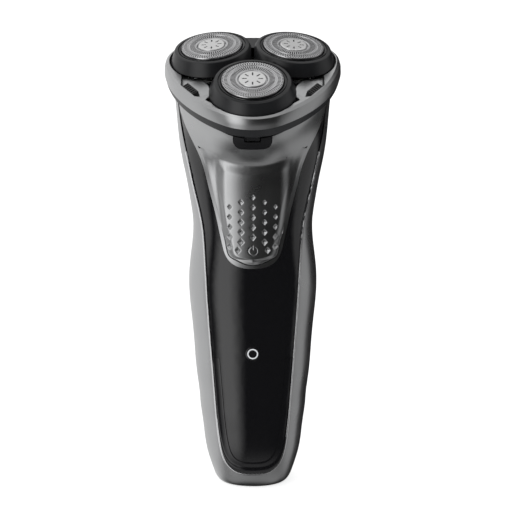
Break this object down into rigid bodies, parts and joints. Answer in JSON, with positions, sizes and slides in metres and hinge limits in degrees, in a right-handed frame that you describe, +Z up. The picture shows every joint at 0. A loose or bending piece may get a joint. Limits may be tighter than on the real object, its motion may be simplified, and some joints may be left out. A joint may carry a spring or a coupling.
{
  "type": "rotary electric shaver",
  "caption": "Cordless rotary electric shaver with pivoting round cutters on a hinged flip-open head, a waisted grip body and a dimpled power pad.",
  "frame": {"origin": "centre of the flat foot that the shaver stands on", "axes": "+Z up along the body, -Y out of the front panel, +X to the viewer's right when the front is faced"},
  "size_m": [0.0648, 0.0609, 0.1681],
  "materials": {
    "silver_casing": "satin metallic silver-grey lacquer",
    "black_gloss": "piano black",
    "black_grip": "soft-touch black",
    "black_satin": "satin moulded black",
    "dark_vent": "dark ribbed",
    "cutter_steel": "turned stainless steel",
    "badge_metal": "fine brushed",
    "white_plastic": "acetal",
    "steel": "plain steel",
    "motor_steel": "zinc plated",
    "magnet": "ferrite",
    "cell_wrap": "shrink wrap",
    "contact_brass": "nickel brass",
    "board_green": "solder mask",
    "light_lens": "frosted clear",
    "seal_rubber": "moulded"
  },
  "bodies": {
    "casing": {"main_housing": "silver_casing", "front_panel": "black_gloss", "thumb_plate": "silver_casing", "rear_cover": "black_grip", "status_light": "light_lens", "gear_cover": "black_satin", "deck_seal": "seal_rubber", "deck_screws": "steel", "chassis": "white_plastic", "motor_can": "motor_steel", "motor_end_bell": "black_satin", "motor_magnets": "magnet", "battery": "cell_wrap", "battery_contact_upper": "contact_brass", "battery_contact_lower": "contact_brass", "circuit_board": "board_green", "key_switch": "black_satin", "indicator_lamp": "light_lens", "charging_port": "steel", "port_tongue": "black_satin", "hinge_pin": "steel"},
    "head": {"head_cover": "silver_casing", "head_base": "black_satin", "vent_insert_left": "dark_vent", "vent_insert_right": "dark_vent", "retaining_frame": "white_plastic"},
    "lock": {"retainer_lock": "black_satin"},
    "rotor": {"motor_pinion": "contact_brass", "motor_shaft": "steel", "rotor_core": "motor_steel"},
    "button": {"power_button": "silver_casing"},
    "release": {"release_button": "black_satin"},
    "ring_front": {"cutter_ring_front": "black_satin"},
    "cap_front": {"guard_cap_front": "cutter_steel", "cap_badge_front": "badge_metal"},
    "blade_front": {"rotary_blade_front": "cutter_steel", "blade_carrier_front": "white_plastic"},
    "drive_front": {"drive_gear_front": "white_plastic", "drive_spindle_front": "white_plastic"},
    "ring_left": {"cutter_ring_left": "black_satin"},
    "cap_left": {"guard_cap_left": "cutter_steel", "cap_badge_left": "badge_metal"},
    "blade_left": {"rotary_blade_left": "cutter_steel", "blade_carrier_left": "white_plastic"},
    "drive_left": {"drive_gear_left": "white_plastic", "drive_spindle_left": "white_plastic"},
    "ring_right": {"cutter_ring_right": "black_satin"},
    "cap_right": {"guard_cap_right": "cutter_steel", "cap_badge_right": "badge_metal"},
    "blade_right": {"rotary_blade_right": "cutter_steel", "blade_carrier_right": "white_plastic"},
    "drive_right": {"drive_gear_right": "white_plastic", "drive_spindle_right": "white_plastic"}
  },
  "joints": [
    {"name": "head_flip", "type": "hinge", "parent": "casing", "child": "head", "pos_m": [0, 0.0265, 0.1582], "axis": [-1, 0, 0], "range_deg": [0, 95]},
    {"name": "lock_turn", "type": "hinge", "parent": "head", "child": "lock", "pos_m": [0, 0.00012, 0.15076], "axis": [0, -0.3584, 0.9336], "range_deg": [0, 60]},
    {"name": "motor_spin", "type": "hinge", "parent": "casing", "child": "rotor", "pos_m": [0, 0.00295, 0.14339], "axis": [0, -0.3584, 0.9336], "continuous": true},
    {"name": "ring_tilt_front", "type": "hinge", "parent": "head", "child": "ring_front", "pos_m": [0, -0.01724, 0.1496], "axis": [1, 0, 0], "range_deg": [-3, 3], "stiffness_Nm_per_rad": 0.05},
    {"name": "cap_plunge_front", "type": "slide", "parent": "ring_front", "child": "cap_front", "axis": [0, -0.454, 0.891], "range_m": [-0.0008, 0], "stiffness_N_per_m": 400, "springref_m": 0.001},
    {"name": "blade_spin_front", "type": "hinge", "parent": "cap_front", "child": "blade_front", "pos_m": [0, -0.02015, 0.1553], "axis": [0, -0.454, 0.891], "continuous": true},
    {"name": "drive_spin_front", "type": "hinge", "parent": "casing", "child": "drive_front", "pos_m": [0, -0.01245, 0.13748], "axis": [0, -0.3584, 0.9336], "continuous": true},
    {"name": "ring_tilt_left", "type": "hinge", "parent": "head", "child": "ring_left", "pos_m": [-0.0144, 0.00604, 0.15854], "axis": [-0.5, -0.8085, -0.3104], "range_deg": [-3, 3], "stiffness_Nm_per_rad": 0.05},
    {"name": "cap_plunge_left", "type": "slide", "parent": "ring_left", "child": "cap_left", "axis": [-0.0905, -0.3076, 0.9472], "range_m": [-0.0008, 0], "stiffness_N_per_m": 400, "springref_m": 0.001},
    {"name": "blade_spin_left", "type": "hinge", "parent": "cap_left", "child": "blade_left", "pos_m": [-0.01498, 0.00407, 0.1646], "axis": [-0.0905, -0.3076, 0.9472], "continuous": true},
    {"name": "drive_spin_left", "type": "hinge", "parent": "casing", "child": "drive_left", "pos_m": [-0.01429, 0.01065, 0.14635], "axis": [0, -0.3584, 0.9336], "continuous": true},
    {"name": "ring_tilt_right", "type": "hinge", "parent": "head", "child": "ring_right", "pos_m": [0.0144, 0.00604, 0.15854], "axis": [-0.5, 0.8085, 0.3104], "range_deg": [-3, 3], "stiffness_Nm_per_rad": 0.05},
    {"name": "cap_plunge_right", "type": "slide", "parent": "ring_right", "child": "cap_right", "axis": [0.0905, -0.3076, 0.9472], "range_m": [-0.0008, 0], "stiffness_N_per_m": 400, "springref_m": 0.001},
    {"name": "blade_spin_right", "type": "hinge", "parent": "cap_right", "child": "blade_right", "pos_m": [0.01498, 0.00407, 0.1646], "axis": [0.0905, -0.3076, 0.9472], "continuous": true},
    {"name": "drive_spin_right", "type": "hinge", "parent": "casing", "child": "drive_right", "pos_m": [0.01429, 0.01065, 0.14635], "axis": [0, -0.3584, 0.9336], "continuous": true},
    {"name": "power_press", "type": "hinge", "parent": "casing", "child": "button", "pos_m": [0, -0.0208, 0.1262], "axis": [1, 0, 0], "range_deg": [0, 0.9], "stiffness_Nm_per_rad": 7, "springref_deg": -0.23},
    {"name": "release_press", "type": "slide", "parent": "casing", "child": "release", "axis": [0, 1, 0], "range_m": [0, 0.0007], "stiffness_N_per_m": 1500, "springref_m": -0.0003}
  ],
  "couplings": [
    {"joint": "drive_spin_front", "follows": "motor_spin", "ratio": -0.60976},
    {"joint": "blade_spin_front", "follows": "motor_spin", "ratio": -0.60976},
    {"joint": "drive_spin_left", "follows": "motor_spin", "ratio": -0.60976},
    {"joint": "blade_spin_left", "follows": "motor_spin", "ratio": -0.60976},
    {"joint": "drive_spin_right", "follows": "motor_spin", "ratio": -0.60976},
    {"joint": "blade_spin_right", "follows": "motor_spin", "ratio": -0.60976}
  ]
}
